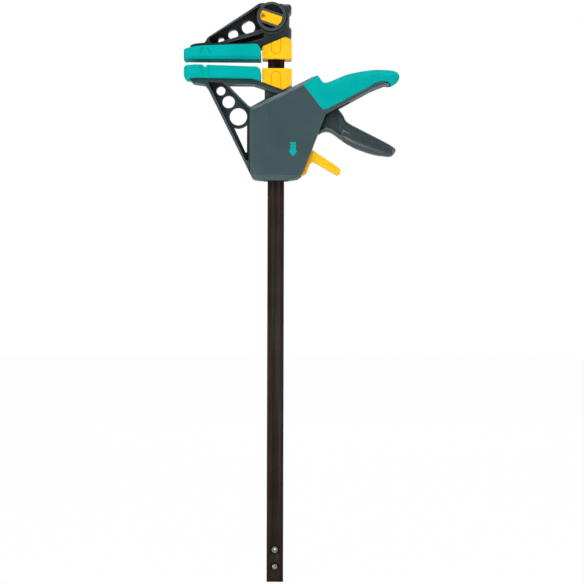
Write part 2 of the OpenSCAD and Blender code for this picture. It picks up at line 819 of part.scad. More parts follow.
// Lines along which the grip's back is rounded off, on the hard core and on its cover
core_crest = [
    [52, -17], [58.1, -21.7], [74.2, -13.3 - cover_t], [96, -5.7 - cover_t], [108, -3.4 - cover_t],
    [120, -2.3 - cover_t], [132, -2.6 - cover_t], [grip_reach - 4 - cover_t, -4 - cover_t],
    [grip_reach - cover_t, -10.5], [grip_reach - 2.9 - cover_t, -16.8]
];
cover_crest = [
    [61, -18.4], [74.2, -13], [96, -5.5], [108, -3.2], [120, -2.1], [132, -2.4],
    [grip_reach - 3.6, -4], [grip_reach, -10.5], [grip_reach - 3, -19.4]
];

// Hollow of the grip, which the trigger's head swings into
hollow_outline = [
    [20, -47],
    [24.4, -40.2, 4],
    [32, -37, 4],
    [52, -29, 4],
    [58, -26, 3],
    [76, -20, 8],
    [96, -13, 10],
    [106, -11.5, 3],
    [106, -21, 3],
    [90, -31, 3],
    [84, -38],
    [92, -46],
    [92, -66],
    [53, -86],
    [46, -84],
    [30, -70]
];

chamber_outline = [
    [-hx - 7.2, -53.2, 2],
    [hx + 2, -53.2],
    [hx + 2, -47, 2],
    [trigger_pin_at.x + 9, -42, 2],
    [hx + 27, -58],
    [hx + 17.5, shelf_top + 10, 2],
    [hx + 17.5, shelf_top, 1],
    [-hx - 7.2, shelf_top, 1]
];

brake_chamber = [
    [-hx - 10.6, shelf_top - shelf_t - 8, 2],
    [-hx - 4, shelf_top - shelf_t, 2],
    [hx + 14.6, shelf_top - shelf_t, 1],
    [hx + 14.6, chamber_floor, 1],
    [-hx - 6, chamber_floor, 1],
    [-hx - 6, -118, 1],
    [-hx - 10.6, -118, 1]
];

release_slot = [
    [hx + 3, -100, 1],
    [hx + 22, -95.2, 1],
    [60, -94.6],
    [60, -131.5],
    [26.5, -131.5, 1],
    [hx + 14, -122, 1],
    [hx + 8, -112]
];

// Where the housing screws stand, and how deep their heads sink below the rear face
screws = [
    [-24, -60, body_y],
    [-24, -122, body_y],
    [24, -31, body_y],
    [38, -88, body_y],
    [118, -13.5, core_w / 2]
];
head_sink = 3;
screw_nose = 8;             // how far the screws reach into the front shell

module housing_outer() {
    difference() {
        shape(body_outline, body_y);
        bevel_edge(body_a, body_b, body_y, bevel_w, bevel_d);
        bevel_edge([-body_back, -body_foot], [-body_back, body_a.y], body_y, side_bevel_w, side_bevel_d);
        bevel_edge([40, -body_foot], [-40, -body_foot], body_y, bevel_w + 1.4, bevel_d + 0.6);
    }
    difference() {
        shape(jaw_outline, frame_y);
        across(-frame_y - 1, e) polygon(outline(jaw_pocket));
        across(web_t, frame_y + 1) polygon(outline(jaw_pocket));
        for (side = [-1, 1])
            across(side > 0 ? hy + tunnel_wall : -frame_y - 1, side > 0 ? frame_y + 1 : -hy - tunnel_wall)
                polygon(outline(jaw_nook));
        shape(jaw_window, frame_y + 1);
        for (hole = jaw_holes) rod(hole, hole.z, -frame_y - 1, frame_y + 1);
        both_ways(frame_y + 1) intersection() {
            difference() {
                polygon(outline(jaw_slit));
                translate([jaw_holes[2].x, jaw_holes[2].y]) circle(r = jaw_holes[2].z + hole_rim);
            }
            polygon(outline(jaw_pocket));
        }
    }
    tongue(-pad_cover - tongue_t, -pad_cover);
    difference() {
        shape(core_outline, core_w / 2);
        crown(core_crest, core_w / 2, 5.2, 6);
    }
}

module housing_half(side)
    carriage() difference() {
        housing_outer();
        block([-far, side > 0 ? -far : 0, -far], [far, side > 0 ? 0 : far, far]);
        bar_tunnel(-body_foot - 1, 20, tunnel_gap);
        shape(chamber_outline, chamber_y);
        shape(brake_chamber, chamber_y);
        shape(hollow_outline, trigger_head_w / 2 + trigger_gap);
        shape(release_slot, release_w / 2 + 0.4);
        guide_seat();
        foot_recess(0.1);
        rod(trigger_pin_at, pin_r + press, -body_y + 2, body_y - 2);
        rod(release_pin_at, release_pin_d / 2 + press, -body_y + 2.5, body_y - 2.5);
        for (s = screws) {
            rod(s, screw_d / 2 + 0.15, 0, s.z + 1);
            rod(s, screw_head_d / 2 + 0.3, s.z - head_sink, s.z + 3);
            rod(s, screw_d / 2 + press, -screw_nose - 0.5, 0.01);
        }
        panel_line(side);
    }

// Space of the moving bar guide above the sloping beam
module guide_seat() {
    block([-60, -guide_y - 1, 0], [guide_right + 0.2, guide_y + 1, 30]);
}

// Thin line round the plain panel on each side of the body
module panel_line(side) {
    panel = [[-9.6, -127, 1.5], [-9.6, -47.5, 0.8], [6.5, -39.6, 0.8], [6.5, -127, 1.5]];
    inner = [[-8.9, -126.3, 1], [-8.9, -48, 0.6], [5.8, -40.7, 0.6], [5.8, -126.3, 1]];
    across(side > 0 ? body_y - panel_line_d : -body_y - 1, side > 0 ? body_y + 1 : panel_line_d - body_y)
        difference() {
            polygon(outline(panel));
            polygon(outline(inner));
        }
}

module housing_front() color(grey) housing_half(-1);

module housing_rear() color(grey) housing_half(1);

module housing_screws() color(steel)
    carriage() for (s = screws) {
        rod(s, screw_d / 2, -screw_nose, s.z - head_sink + 0.1);
        difference() {
            rod(s, screw_head_d / 2, s.z - head_sink, s.z - 0.8);
            for (turn = [0, 90])
                translate([s.x, s.z - 0.8, s.y]) rotate([0, turn, 0]) cube([3.4, 2.4, 0.9], center = true);
        }
    }

module moving_pad() color(teal)
    carriage() difference() {
        mirror([0, 0, 1]) pad_body([
            [tip, 2.6, 3],
            [tip + 4.6, -0.2, 4],
            [tip + 14.6, -pad_toe],
            [pad_end - 5.6, pad_toe],
            [pad_end - 3, 1.8, 3],
            [pad_end, 4.6, 4],
            [pad_end, moving_pad_h, 1.2],
            [pad_end - 5, moving_pad_h - 1.5],
            [pad_end - 13, moving_pad_h - 3.2, 8],
            [tip + 14.6, moving_pad_h - 4, 10],
            [tip + 8.6, moving_pad_h - 3.4, 3],
            [tip + 1, moving_pad_h - 4.2, 3.5]
        ], 2 * moving_pad_h);
        translate([tip + 26.7, 0, notch_w * 0.5 - notch_d])
            rotate([0, 45, 0]) cube([notch_w * 0.7071, pad_w + 2, notch_w * 0.7071], center = true);
        pad_line([tip + 20.8, -0.6], [tip + 24.6, -12]);
        pad_line([tip + 32.2, -1.2], [tip + 30, -11.4]);
    }

module moving_bar_guide() color(yellow)
    carriage() difference() {
        shape([
            [guide_left, -2.3, 1.2],
            [guide_right, -2.3, 0.8],
            [guide_right, -21.7, 0.8],
            [hx + 1.4, -26.4, 0.8],
            [hx - 2, z_at(beam_high, beam_low, hx - 2) + seat, 0.8],
            [guide_left, z_at(beam_high, beam_low, guide_left) + seat, 1.5]
        ], guide_y);
        bar_tunnel(-60, 20, slide_gap - 0.05);
        guide_corner_cuts(-60, 20);
        guide_arch(-5.6, -60, -1);
    }

// Plastic bush at the foot of the body
foot_guide_t = 5;
module foot_recess(gap) {
    block([-hx - 5 - gap, -hy - 4 - gap, -body_foot - 1],
        [hx + 4.5 + gap, hy + 4 + gap, -body_foot + foot_guide_t - 0.8 + gap]);
}

module foot_bar_guide() color(dark_grey)
    carriage() difference() {
        intersection() {
            foot_recess(0);
            block([-far, -far, -body_foot - 0.6], [far, far, 0]);
        }
        bar_tunnel(-body_foot - 2, -body_foot + 10, slide_gap - 0.05);
    }

module grip_cover() color(teal)
    carriage() difference() {
        shape(cover_outline, cover_w / 2);
        crown(cover_crest, cover_w / 2, 9.5, 6.3);
        crown(cover_crest, cover_w / 2, 4.9, 9.7);
        shape(concat(core_back, [[grip_reach - 13.6, -60], [28, -60], [28, -23.4]]), core_w / 2 + cover_fit);
    }

module trigger_pin() color(steel)
    carriage() rod(trigger_pin_at, pin_r, -body_y + 2.2, body_y - 2.2);

module release_pin() color(steel)
    carriage() rod(release_pin_at, release_pin_d / 2, -body_y + 2.7, body_y - 2.7);

module drive_spring() color(steel)
    carriage() coil_spring(spring_r, drive_wire, shelf_top + 0.05, drive_spring_top, drive_turns);

module brake_spring() color(steel)
    carriage() translate([brake_spring_x, 0, 0])
        coil_spring((brake_spring_d - brake_wire) / 2, brake_wire, chamber_floor + 0.05, brake_spring_top,
            brake_turns, 12);

brake_spring_top = brake_pivot.y + (brake_spring_x - brake_spring_d / 2 - brake_pivot.x) * tan(brake_tilt)
    - brake_t / 2 / cos(brake_tilt) - 0.1;

// ---------- trigger ----------

trigger_outline = [
    [trigger_pin_at.x - 3, trigger_pin_at.y + 8, 6],
    [trigger_pin_at.x + 12, trigger_pin_at.y + 7.2, 20],
    [73.9, -48.8, 3],
    [80.8, -58.4, 8],
    [84.6, -66, 8],
    [106.6, -76.7],
    [trigger_reach - 3.6, -93.8, 4],
    [trigger_reach + 0.5, -98, 5],
    [trigger_reach - 4, -106.4, 6],
    [124, -105.2, 20],
    [100, -98.8, 20],
    [80, -87.8, 10],
    [62.6, -74.6, 6],
    [50.8, -78.8, 10],
    [trigger_pin_at.x + 6, trigger_pin_at.y - 16, 10],
    [trigger_pin_at.x - 4.5, trigger_pin_at.y - 9, 3],
    [trigger_pin_at.x - 6.5, nose.y - 0.8, 1],
    [nose.x + 2.4, nose.y - 1.4, 1],
    [nose.x + 1, nose.y - nose_r, 1.2],
    [nose.x - nose_r, nose.y - nose_r, 2.5],
    [nose.x - nose_r + 0.5, nose.y + 3.5, 2]
];

blade_outline = [
    [79, -68.4, 1.5],
    [85, -66.4],
    [106.6, -76.7],
    [trigger_reach - 3.6, -93.8, 4],
    [trigger_reach + 0.5, -98, 5],
    [trigger_reach - 4, -106.4, 6],
    [124, -105.2, 20],
    [100, -98.8, 20],
    [80, -87.8, 10],
    [70.6, -80.7],
    [80.4, -79.4, 4]
];

// Shallow panel on both sides of the trigger's head
trigger_panel = [
    [46, -63],
    [73.9, -59.6, 1],
    [77.4, -76.2, 1],
    [60, -72.8, 4],
    [46, -76]
];

panel_y = trigger_head_w / 2 - 1.2;

module trigger() color(grey)
    carriage() difference() {
        union() {
            shape(trigger_outline, trigger_head_w / 2);
            shape(blade_outline, trigger_blade_w / 2);
        }
        for (side = [-1, 1])
            across(side > 0 ? panel_y : -20, side > 0 ? 20 : -panel_y) polygon(outline(trigger_panel));
        rod(trigger_pin_at, pin_r + run_fit, -20, 20);
    }

// ---------- jam plates ----------

// Window length that lets a plate of thickness t at the given tilt clear the bar
function window(width, t, tilt) = (width + 2 * window_gap) / cos(tilt) + t * abs(tan(tilt));

// Plate round the bar, tilted about a point, with its top face through that point
module jam_plate(at, tilt, t, x0, x1)
    translate([at.x, 0, at.y]) rotate([0, -tilt, 0]) difference() {
        translate([0, 0, -t]) linear_extrude(t) polygon(outline([
            [x0 - at.x, -plate_w / 2, 3], [x1 - at.x, -plate_w / 2, 3],
            [x1 - at.x, plate_w / 2, 3], [x0 - at.x, plate_w / 2, 3]
        ]));
        translate([-at.x / cos(tilt) - t / 2 * tan(tilt), 0, -t / 2])
            cube([window(bar_w, t, tilt), bar_t + 0.5, t + 1], center = true);
    }

drive_at = [0, drive_push + nose.x * tan(drive_tilt)];

module drive_plate_upper() color(black_steel)
    carriage() jam_plate(drive_at, -drive_tilt, drive_t, plate_left, plate_right);

module drive_plate_lower() color(black_steel)
    carriage() jam_plate(drive_at - [0, drive_t + 0.1], -drive_tilt, drive_t, plate_left, plate_right);

module brake_plate() color(black_steel)
    carriage() jam_plate(
        [0, brake_pivot.y - brake_pivot.x * tan(brake_tilt) + brake_t / 2 / cos(brake_tilt)],
        brake_tilt, brake_t, brake_pivot.x, brake_end);

// ---------- release lever ----------

release_outline = [
    [release_nose.x - 2.6, release_nose.y + 1, 2],
    [release_nose.x - 1.8, release_nose.y - release_nose_r, 1.5],
    [release_nose.x + 0.8, release_nose.y - release_nose_r, 1],
    [release_nose.x + 2.6, release_nose.y - 1],
    [release_pin_at.x - 6, release_nose.y - 0.6, 0.8],
    [release_pin_at.x - 6, release_pin_at.y - 3, 2],
    [release_pin_at.x - 4, release_pin_at.y - 12, 3],
    [28.6, -129.2, 1],
    [31.8, -129.2, 1],
    [36.6, -126.3, 2],
    [40.6, -115.2, 3],
    [44.2, -112, 3],
    [58.6, -120.2],
    [release_reach - 3.6, -129.2, 3],
    [release_reach + 0.6, -124.2, 3.5],
    [release_reach - 4.8, -118.6, 8],
    [44, -99.2, 1],
    [release_pin_at.x + 6, -98.6, 3],
    [release_pin_at.x, -102.5, 3]
];

module release_lever() color(yellow)
    carriage() difference() {
        shape(release_outline, release_w / 2);
        rod(release_pin_at, release_pin_d / 2 + run_fit, -20, 20);
    }

bar();
stop_roll_pins();
lock_studs();
fixed_jaw();
fixed_pad();
fixed_bar_guide();
lock_knob();
knob_grip_insert();
insert_rivet();
lock_cam();
knob_screw();
housing_front();
housing_rear();
housing_screws();
moving_pad();
moving_bar_guide();
foot_bar_guide();
grip_cover();
trigger_pin();
release_pin();
drive_spring();
brake_spring();
trigger();
drive_plate_upper();
drive_plate_lower();
brake_plate();
release_lever();
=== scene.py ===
"""Looks of the quick release bar clamp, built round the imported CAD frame.

+Z runs up along the bar, +X from the jaws to the grip, and -Y is the side with the locking knob. Blender works in
metres; the tables of points, and the sizes named beside them, are in millimetres where they say so.
"""
import json
import math

import bpy
import bmesh
from mathutils import Matrix, Vector


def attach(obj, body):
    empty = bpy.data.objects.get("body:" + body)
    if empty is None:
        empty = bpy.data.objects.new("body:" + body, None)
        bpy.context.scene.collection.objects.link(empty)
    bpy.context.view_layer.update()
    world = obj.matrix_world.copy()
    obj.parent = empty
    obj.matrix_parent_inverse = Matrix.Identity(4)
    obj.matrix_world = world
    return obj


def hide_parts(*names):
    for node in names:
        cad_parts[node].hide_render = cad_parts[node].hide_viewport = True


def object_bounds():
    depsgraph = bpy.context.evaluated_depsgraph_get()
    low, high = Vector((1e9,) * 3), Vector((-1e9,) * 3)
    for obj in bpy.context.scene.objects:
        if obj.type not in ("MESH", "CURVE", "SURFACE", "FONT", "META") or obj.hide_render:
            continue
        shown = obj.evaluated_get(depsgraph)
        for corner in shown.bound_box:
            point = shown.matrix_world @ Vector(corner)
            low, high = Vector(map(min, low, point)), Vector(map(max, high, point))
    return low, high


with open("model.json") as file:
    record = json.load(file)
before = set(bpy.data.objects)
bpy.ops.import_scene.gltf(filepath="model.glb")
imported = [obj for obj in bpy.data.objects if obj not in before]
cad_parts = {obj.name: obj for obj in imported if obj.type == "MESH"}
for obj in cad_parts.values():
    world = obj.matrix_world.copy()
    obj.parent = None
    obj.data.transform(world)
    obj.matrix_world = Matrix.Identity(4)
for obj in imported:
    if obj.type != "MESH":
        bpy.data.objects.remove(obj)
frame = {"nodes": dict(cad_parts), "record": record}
cad_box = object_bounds()
MM = 0.001


# ---------- materials ----------

MIX_FIRST, MIX_SECOND, MIX_RESULT = 6, 7, 2     # colour sockets of the Mix node, which names them alike


def linear(r, g, b):
    """Linear colour from an sRGB colour given in 0 to 255."""
    def channel(v):
        v /= 255
        return v / 12.92 if v <= 0.04045 else ((v + 0.055) / 1.055) ** 2.4
    return (channel(r), channel(g), channel(b), 1)


def scaled(colour, factor, lift=0.0):
    """The colour times a factor, plus a lift, held at white."""
    return tuple(min(1, c * factor + lift) for c in colour[:3]) + (1,)


class Nodes:
    """A short way to write a procedural material round its Principled shader."""

    def __init__(self, name):
        self.material = bpy.data.materials.new(name)
        self.material.use_nodes = True
        self.tree = self.material.node_tree
        self.shader = self.tree.nodes["Principled BSDF"]
        self.place = self.add("ShaderNodeTexCoord").outputs["Object"]

    def add(self, kind, **settings):
        node = self.tree.nodes.new(kind)
        for key, value in settings.items():
            setattr(node, key, value)
        return node

    def link(self, source, target):
        self.tree.links.new(source, target)

    def put(self, value, target):
        """Links the target to a socket, or gives it a constant."""
        if isinstance(value, bpy.types.NodeSocket):
            self.link(value, target)
        else:
            target.default_value = value

    def stretch(self, scale):
        """The object's coordinates, scaled by axis."""
        mapping = self.add("ShaderNodeMapping")
        mapping.inputs["Scale"].default_value = scale
        self.link(self.place, mapping.inputs["Vector"])
        return mapping.outputs["Vector"]

    def noise(self, scale, detail=2, rough=0.5, vector=None):
        node = self.add("ShaderNodeTexNoise")
        node.inputs["Scale"].default_value = scale
        node.inputs["Detail"].default_value = detail
        node.inputs["Roughness"].default_value = rough
        self.link(vector or self.place, node.inputs["Vector"])
        return node.outputs["Fac"]

    def range(self, value, low, high, to_low, to_high):
        """Maps a value of low to high onto to_low to to_high, and holds it there."""
        node = self.add("ShaderNodeMapRange")
        for key, number in (("From Min", low), ("From Max", high), ("To Min", to_low), ("To Max", to_high)):
            node.inputs[key].default_value = number
        self.link(value, node.inputs["Value"])
        return node.outputs["Result"]

    def vary(self, noise, low, high):
        """Spreads the part of a noise that it mostly stays within, 0.3 to 0.7, from low to high."""
        return self.range(noise, 0.3, 0.7, low, high)

    def mix(self, share, first, second):
        """Mixes two colours, each a value or a socket."""
        node = self.add("ShaderNodeMix", data_type="RGBA")
        self.link(share, node.inputs["Factor"])
        self.put(first, node.inputs[MIX_FIRST])
        self.put(second, node.inputs[MIX_SECOND])
        return node.outputs[MIX_RESULT]

    def math(self, operation, first, second):
        node = self.add("ShaderNodeMath", operation=operation)
        self.put(first, node.inputs[0])
        self.put(second, node.inputs[1])
        return node.outputs[0]

    def bump(self, height, distance, strength=1.0, below=None):
        node = self.add("ShaderNodeBump")
        node.inputs["Distance"].default_value = distance
        node.inputs["Strength"].default_value = strength
        self.link(height, node.inputs["Height"])
        if below is not None:
            self.link(below, node.inputs["Normal"])
        return node.outputs["Normal"]

    def skin(self, grain, depth, waves, height, strength):
        """Normal of a moulded skin: a fine grain over shallow waves."""
        fine = self.bump(self.noise(grain, rough=0.6), depth)
        return self.bump(self.noise(waves, detail=1), height, strength, fine)

    def closeness(self, distance, low, high, inside=False):
        """How much is near a point: in its hollows, or, seen from inside the piece, at its outer edges.

        The openness that gives 1 is low, and the one that gives 0 is high.
        """
        node = self.add("ShaderNodeAmbientOcclusion", samples=6, only_local=inside, inside=inside)
        node.inputs["Distance"].default_value = distance
        return self.range(node.outputs["AO"], low, high, 1, 0)

    def finish(self, colour, roughness, normal, **constants):
        """Links the shader's three textured inputs and sets the others."""
        self.link(colour, self.shader.inputs["Base Color"])
        self.link(roughness, self.shader.inputs["Roughness"])
        self.link(normal, self.shader.inputs["Normal"])
        for name, value in constants.items():
            self.shader.inputs[name.replace("_", " ")].default_value = value
        return self.material


EDGE_HIGHLIGHT = linear(126, 134, 137)       # painted highlight: light grey laid along the outer edges of the hard mouldings, for the light their rounded edges catch
HOLLOW_SHADE = linear(20, 16, 15)        # painted shade in their pockets and seams
YELLOW_SHADE = linear(226, 128, 0)       # painted orange shade in the fine lines, corners and hollows of the yellow mouldings


def moulded_plastic(name, colour, rough, highlight_share=0.6):
    """Injection moulded plastic: spark-eroded grain, faint flow marks, painted hollow shade and painted edge
    highlights.
    """
    m = Nodes(name)
    flow = m.vary(m.noise(scale=38, detail=3), 0, 1)
    specks = m.range(m.noise(scale=900), 0.62, 0.75, 0, 0.10)
    # mask of the outer edges, which get a painted highlight
    rim_highlight = m.closeness(distance=0.0011, low=0.5, high=0.95, inside=True)
    # painted shade: near black laid into the pockets and seams, where shade falls
    pockets = m.closeness(distance=0.02, low=0.32, high=0.86)
    seams = m.closeness(distance=0.0025, low=0.5, high=0.98)
    base = m.mix(flow, scaled(colour, 0.9), scaled(colour, 1.1))
    base = m.mix(specks, base, scaled(colour, 2.2, lift=0.02))
    # painted highlight: the outer edges turn lighter grey by the given share
    base = m.mix(m.math("MULTIPLY", rim_highlight, highlight_share), base, EDGE_HIGHLIGHT)
    base = m.mix(m.math("MAXIMUM", pockets, seams), base, HOLLOW_SHADE)
    roughness = m.vary(m.noise(scale=120, detail=3), rough - 0.05, rough + 0.07)
    return m.finish(base, roughness, m.skin(grain=1500, depth=0.00003, waves=60, height=0.00012, strength=0.5))


def soft_plastic(name, colour, shaded_lines=False):
    """Soft grip material: matte, fine skin, next to no gloss; where lined, painted shade darkens its fine lines and
    seams.
    """
    m = Nodes(name)
    base = m.mix(m.vary(m.noise(scale=30), 0, 1), scaled(colour, 0.93), scaled(colour, 1.06))
    if shaded_lines:
        # painted shade: the teal darkens in fine lines and narrow hollows, where shade falls
        base = m.mix(m.closeness(distance=0.0022, low=0.4, high=0.95), base, scaled(colour, 0.45))
    roughness = m.vary(m.noise(scale=200, detail=3), 0.51, 0.63)
    normal = m.skin(grain=2200, depth=0.000008, waves=45, height=0.00015, strength=0.4)
    return m.finish(base, roughness, normal, Specular_IOR_Level=0.03)


def yellow_plastic(name, colour):
    """Yellow moulded plastic, satin, with painted orange shade in its corners and fine lines."""
    m = Nodes(name)
    deep = (colour[0] * 0.93, colour[1] * 0.86, colour[2] * 0.6, 1)
    base = m.mix(m.vary(m.noise(scale=34), 0, 1), deep, colour)
    # painted shade: orange laid into corners, fine lines and hollows, where shade falls
    base = m.mix(m.closeness(distance=0.003, low=0.3, high=0.95), base, YELLOW_SHADE)
    roughness = m.vary(m.noise(scale=160, detail=3), 0.30, 0.42)
    normal = m.skin(grain=1700, depth=0.00002, waves=50, height=0.00012, strength=0.4)
    return m.finish(base, roughness, normal, Specular_IOR_Level=0.12)


def blackened_steel(name):
    """Rolled bar with a black finish: long draw marks, rub marks and rusty brown specks."""
    m = Nodes(name)
    draw_marks = m.noise(scale=1, detail=4, rough=0.6, vector=m.stretch((700, 700, 9)))
    streaks = m.noise(scale=1, detail=3, rough=0.6, vector=m.stretch((240, 240, 3)))
    patches = m.noise(scale=26, detail=4, rough=0.6)
    specks = m.noise(scale=420, detail=3, rough=0.7)
    base = m.mix(m.range(patches, 0.35, 0.68, 0, 1), linear(30, 22, 19), linear(42, 33, 30))
    base = m.mix(m.range(draw_marks, 0.5, 0.75, 0, 0.5), base, linear(60, 50, 46))
    base = m.mix(m.range(specks, 0.66, 0.76, 0, 0.55), base, linear(84, 58, 44))
    normal = m.bump(draw_marks, 0.00006, 0.6)
    normal = m.bump(specks, 0.00004, 0.5, normal)
    return m.finish(base, m.vary(streaks, 0.36, 0.58), normal, Metallic=0.1, Specular_IOR_Level=0.12)


def bright_metal(name, tone, rough):
    """Zinc plated or drawn steel with fine turning marks, a little warmer where it is lighter."""
    m = Nodes(name)
    patches = m.noise(scale=350, detail=3)
    dull = linear(tone - 16, tone - 17, tone - 19)
    light = linear(tone + 14, tone + 13, tone + 10)
    base = m.mix(m.range(patches, 0.35, 0.65, 0, 1), dull, light)
    roughness = m.vary(patches, rough - 0.06, rough + 0.12)
    return m.finish(base, roughness, m.bump(m.noise(scale=2600), 0.00001), Metallic=0.9)


TEAL = linear(0, 168, 164)
MATERIALS = {
    "bar_steel": blackened_steel("bar_steel"),
    "bright_steel": bright_metal("bright_steel", 132, 0.38),
    "spring_steel": bright_metal("spring_steel", 118, 0.36),
    "hardened_plate": bright_metal("hardened_plate", 74, 0.42),
    "grey_plastic": moulded_plastic("grey_plastic", linear(54, 75, 79), 0.4, highlight_share=0.35),
    "dark_plastic": moulded_plastic("dark_plastic", linear(48, 58, 62), 0.36),
    "soft_teal": soft_plastic("soft_teal", TEAL),
    "soft_teal_lined": soft_plastic("soft_teal_lined", TEAL, shaded_lines=True),
    "trigger_plastic": moulded_plastic("trigger_plastic", linear(52, 65, 68), 0.28, highlight_share=0.45),
    "yellow_plastic": yellow_plastic("yellow_plastic", linear(255, 200, 28)),
}


# ---------- CAD nodes ----------

SHARP = math.radians(21)        # facets of the arcs meet at less, real edges at more
FLAT = math.radians(0.6)        # faces that meet at less are parts of one flat face
WELD = 0.000004                 # metres within which vertices are one
BEVELS = {                      # width in metres of the rounded edges; nodes that aren't named keep theirs sharp
    "fixed_jaw": 0.0006,
    "housing_front": 0.0006,
    "housing_rear": 0.0006,
    "fixed_bar_guide": 0.0007,
    "moving_bar_guide": 0.0007,
    "release_lever": 0.002,
    "lock_knob": 0.0004,
}


def dress(name, slot, bevel):
    """Gives a CAD node its material and, through modifiers alone, small rounded edges."""
    node = frame["nodes"][name]
    node.data.materials.clear()
    node.data.materials.append(MATERIALS[slot])
    node.data.shade_smooth()
    if "custom_normal" in node.data.attributes:
        node.data.attributes.remove(node.data.attributes["custom_normal"])
    node.data.set_sharp_from_angle(angle=SHARP)
    weld = node.modifiers.new("weld", "WELD")
    weld.merge_threshold = WELD
    if bevel:
        flat = node.modifiers.new("flat", "DECIMATE")
        flat.decimate_type = "DISSOLVE"
        flat.angle_limit = FLAT
        edges = node.modifiers.new("edges", "BEVEL")
        edges.width = bevel
        edges.segments = 2
        edges.limit_method = "ANGLE"
        edges.angle_limit = SHARP
        edges.harden_normals = True
        edges.use_clamp_overlap = True
        edges.miter_outer = "MITER_ARC"


for part in frame["record"]["subparts"]:
    dress(part["node"], part["material_slot"], BEVELS.get(part["node"], 0.0))


# ---------- mesh helpers ----------

PIECE_SHARP = math.radians(38)  # the pieces made here are rounder, and shade smooth up to this angle
PIECE_MERGE = 1e-6              # metres


def smooth_path(points, steps):
    """Points of a curve that passes through all the given points, whatever their number of values."""
    path = []
    last = len(points) - 1
    for i in range(last):
        p0, p1, p2, p3 = (points[max(0, min(last, i + k))] for k in (-1, 0, 1, 2))
        for step in range(steps):
            t = step / steps
            path.append(tuple(
                0.5 * (2 * b + (c - a) * t + (2 * a - 5 * b + 4 * c - d) * t * t + (3 * b - a - 3 * c + d) * t ** 3)
                for a, b, c, d in zip(p0, p1, p2, p3)
            ))
    path.append(tuple(points[-1]))
    return path


def loft(rings):
    """Closed skin through rings (mm) that all have the same number of points, with both ends capped."""
    shape = bmesh.new()
    rows = [[shape.verts.new(Vector(point) * MM) for point in ring] for ring in rings]
    count = len(rows[0])
    for row, following in zip(rows, rows[1:]):
        for i in range(count):
            j = (i + 1) % count
            shape.faces.new((row[i], row[j], following[j], following[i]))
    shape.faces.new(rows[0])
    shape.faces.new(rows[-1])
    return shape


def rib_length(rib):
    return (Vector(rib[2:4]) - Vector(rib[0:2])).length


def on_rib(rib, profile):
    """Puts a profile, given as depths along the rib and places across the clamp, on the rib of the side view."""
    start = Vector(rib[0:2])
    run = Vector(rib[2:4]) - start
    run.normalize()
    points = [(start + run * depth, y) for depth, y in profile]
    return [(point.x, y, point.y) for point, y in points]


def new_piece(name, shape, slot, body, replaced=(), material=None):
    """Makes a piece from a bmesh, gives it its material and its body, and hides the CAD nodes it stands for."""
    mesh = bpy.data.meshes.new(name)
    bmesh.ops.remove_doubles(shape, verts=shape.verts, dist=PIECE_MERGE)
    bmesh.ops.recalc_face_normals(shape, faces=shape.faces)
    shape.to_mesh(mesh)
    shape.free()
    piece = bpy.data.objects.new(name, mesh)
    bpy.context.collection.objects.link(piece)
    mesh.materials.append(MATERIALS[material or slot])
    mesh.shade_smooth()
    mesh.set_sharp_from_angle(angle=PIECE_SHARP)
    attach(piece, body)
    if replaced:
        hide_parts(*replaced)
    return piece


# ---------- knob insert ----------

# All in millimetres
KNOB = (-5.5, 48.6)             # axis of the knob
BAND_TILT = math.radians(18.8)  # the grip bar falls towards the grip
BAND_DROP = 2.2                 # and lies this far below the knob's axis
BAND_HALF = 5.95                # half the insert's width
BAND_END = 13.2                 # radius of the insert's ends
BAND_CORNER = 1.2               # radius of its four corners
BAND_FRONT = -17.8
BAND_BACK = -16.5
BAND_EDGE = 0.5                 # radius of its front edge
DIMPLE = (-9.7, 0)              # centre of the rivet's dimple along the band
DIMPLE_RADIUS = 3.1
DIMPLE_RINGS = [(1.1, 0), (1.03, 0.05), (0.98, 0.35), (0.94, 1.15), (0.6, 1.15), (0.3, 1.15)]   # radius share, depth


def insert_outline(steps=96, quarter=12):
    """Rounded outline of the insert with the outward direction of each point, in the band's own plane."""
    half = BAND_HALF - BAND_CORNER
    end = BAND_END - BAND_CORNER
    core = []
    for v_sign, u_sign in ((1, 1), (1, -1), (-1, -1), (-1, 1)):
        for k in range(quarter + 1):
            v = v_sign * half * (quarter - k if u_sign * v_sign < 0 else k) / quarter
            core.append((u_sign * math.sqrt(end ** 2 - (v - BAND_DROP) ** 2), v))
    line = []
    for k in range(steps):
        turn = 2 * math.pi * k / steps
        out = (math.cos(turn), math.sin(turn))
        u, v = max(core, key=lambda p: p[0] * out[0] + p[1] * out[1])
        line.append((u + BAND_CORNER * out[0], v + BAND_CORNER * out[1], out))
    return line


def knob_insert(edge_steps=4):
    """Soft-edged yellow insert with a round dimple for its rivet."""
    across = (math.cos(BAND_TILT), -math.sin(BAND_TILT))
    up = (math.sin(BAND_TILT), math.cos(BAND_TILT))

    def place(u, v, y):
        v -= BAND_DROP
        return (KNOB[0] + u * across[0] + v * up[0], y, KNOB[1] + u * across[1] + v * up[1])

    outline = insert_outline()
    rings = [[place(u, v, BAND_BACK) for u, v, out in outline]]
    for k in range(edge_steps + 1):
        turn = math.radians(90 / edge_steps * k)
        inset = BAND_EDGE * (1 - math.cos(turn))
        y = BAND_FRONT + BAND_EDGE * (1 - math.sin(turn))
        rings.append([place(u - inset * out[0], v - inset * out[1], y) for u, v, out in outline])
    for share, depth in DIMPLE_RINGS:
        ring = []
        for u, v, out in outline:
            run = math.hypot(u - DIMPLE[0], v - DIMPLE[1])
            ring.append(place(
                DIMPLE[0] + share * DIMPLE_RADIUS * (u - DIMPLE[0]) / run,
                DIMPLE[1] + share * DIMPLE_RADIUS * (v - DIMPLE[1]) / run, BAND_FRONT + depth))
        rings.append(ring)
    return new_piece("knob_insert_moulded", loft(rings), "yellow_plastic", "jaw_lock", ["knob_grip_insert"])


# ---------- pads ----------

